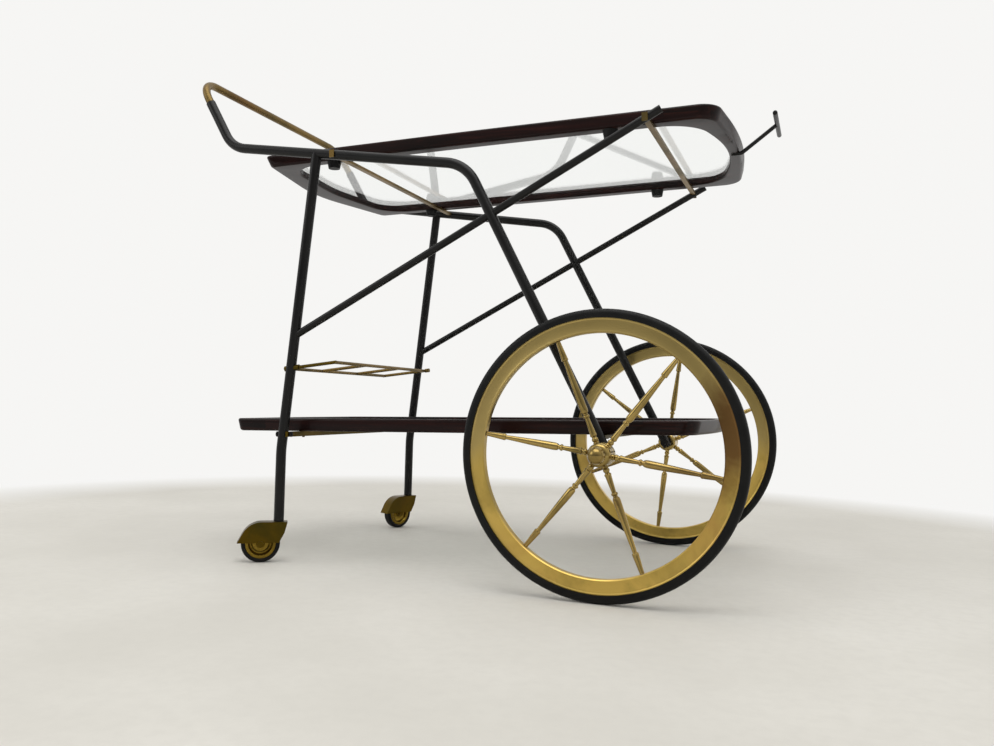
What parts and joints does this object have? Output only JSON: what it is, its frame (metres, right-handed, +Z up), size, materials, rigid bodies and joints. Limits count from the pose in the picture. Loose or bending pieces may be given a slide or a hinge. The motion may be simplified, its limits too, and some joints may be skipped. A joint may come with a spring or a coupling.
{
  "type": "serving trolley",
  "caption": "Two-tier serving trolley: bent tube frame, large spoked wheels at one end, castors and push handle at the other, lift-off glass tray, lower glass tray and bottle rack.",
  "frame": {"origin": "on the floor under the middle of the trolley's overall box", "axes": "+X towards the big wheels, -X towards the push handle, +Z up, the side with the bottle rack's fixing towards -Y"},
  "size_m": [0.9074, 0.5802, 0.7798],
  "materials": {
    "black_metal": "satin black paint",
    "brass": "aged brass with brown patches",
    "dark_brass": "dull, dark aged brass",
    "dark_wood": "glossy dark reddish varnish",
    "clear_glass": "clear, smooth",
    "black_rubber": "matt"
  },
  "bodies": {
    "frame": {"near_side_frame": "black_metal", "near_front_leg": "black_metal", "near_lower_strut": "black_metal", "near_upper_strut": "black_metal", "near_axle": "black_metal", "near_ball_nut": "brass", "near_castor_stem": "black_metal", "far_side_frame": "black_metal", "far_front_leg": "black_metal", "far_lower_strut": "black_metal", "far_upper_strut": "black_metal", "far_axle": "black_metal", "far_ball_nut": "brass", "far_castor_stem": "black_metal", "push_handle": "brass", "top_front_bar": "brass", "top_rear_bar": "brass", "lower_front_bar": "dark_brass", "lower_rear_bar": "dark_brass", "lower_bar_bolts": "black_metal", "lower_bar_nuts": "black_metal", "lower_tray_screws": "dark_brass", "lower_tray_near_handle_end": "dark_wood", "lower_tray_far_handle_end": "dark_wood", "lower_tray_near_rail": "dark_wood", "lower_tray_far_rail": "dark_wood", "lower_tray_near_wheel_end": "dark_wood", "lower_tray_far_wheel_end": "dark_wood", "lower_tray_glass": "clear_glass", "rack_mounting_rod": "dark_brass", "rack_long_rods": "brass", "rack_rungs": "brass", "rack_end_cap": "brass"},
    "near_wheel": {"near_wheel_tyre": "black_rubber", "near_wheel_rim": "brass", "near_wheel_spokes": "brass", "near_wheel_hub": "brass"},
    "near_castor": {"near_castor_hood": "dark_brass", "near_castor_axle": "dark_brass"},
    "near_castor_wheel": {"near_castor_disc": "dark_brass", "near_castor_tyre": "black_rubber"},
    "far_wheel": {"far_wheel_tyre": "black_rubber", "far_wheel_rim": "brass", "far_wheel_spokes": "brass", "far_wheel_hub": "brass"},
    "far_castor": {"far_castor_hood": "dark_brass", "far_castor_axle": "dark_brass"},
    "far_castor_wheel": {"far_castor_disc": "dark_brass", "far_castor_tyre": "black_rubber"},
    "top_tray": {"top_tray_near_handle_end": "dark_wood", "top_tray_far_handle_end": "dark_wood", "top_tray_near_rail": "dark_wood", "top_tray_far_rail": "dark_wood", "top_tray_near_wheel_end": "dark_wood", "top_tray_far_wheel_end": "dark_wood", "top_tray_glass": "clear_glass", "top_tray_feet": "black_rubber", "pull_grip": "black_metal", "pull_rod": "black_metal"}
  },
  "joints": [
    {"name": "near_wheel_spin", "type": "hinge", "parent": "frame", "child": "near_wheel", "pos_m": [0.25301, -0.2531, 0.19], "axis": [0, 1, 0], "continuous": true},
    {"name": "far_wheel_spin", "type": "hinge", "parent": "frame", "child": "far_wheel", "pos_m": [0.25301, 0.2531, 0.19], "axis": [0, 1, 0], "continuous": true},
    {"name": "near_castor_swivel", "type": "hinge", "parent": "frame", "child": "near_castor", "pos_m": [-0.26199, -0.22, 0.0618], "axis": [0, 0, 1], "continuous": true},
    {"name": "near_castor_roll", "type": "hinge", "parent": "near_castor", "child": "near_castor_wheel", "pos_m": [-0.28303, -0.23528, 0.029], "axis": [-0.5878, 0.809, 0], "continuous": true},
    {"name": "far_castor_swivel", "type": "hinge", "parent": "frame", "child": "far_castor", "pos_m": [-0.26199, 0.22, 0.0618], "axis": [0, 0, 1], "continuous": true},
    {"name": "far_castor_roll", "type": "hinge", "parent": "far_castor", "child": "far_castor_wheel", "pos_m": [-0.27173, 0.19589, 0.029], "axis": [-0.9272, 0.3746, 0], "continuous": true},
    {"name": "top_tray_lift", "type": "slide", "parent": "frame", "child": "top_tray", "axis": [0, 0, 1], "range_m": [0, 0.15]}
  ]
}
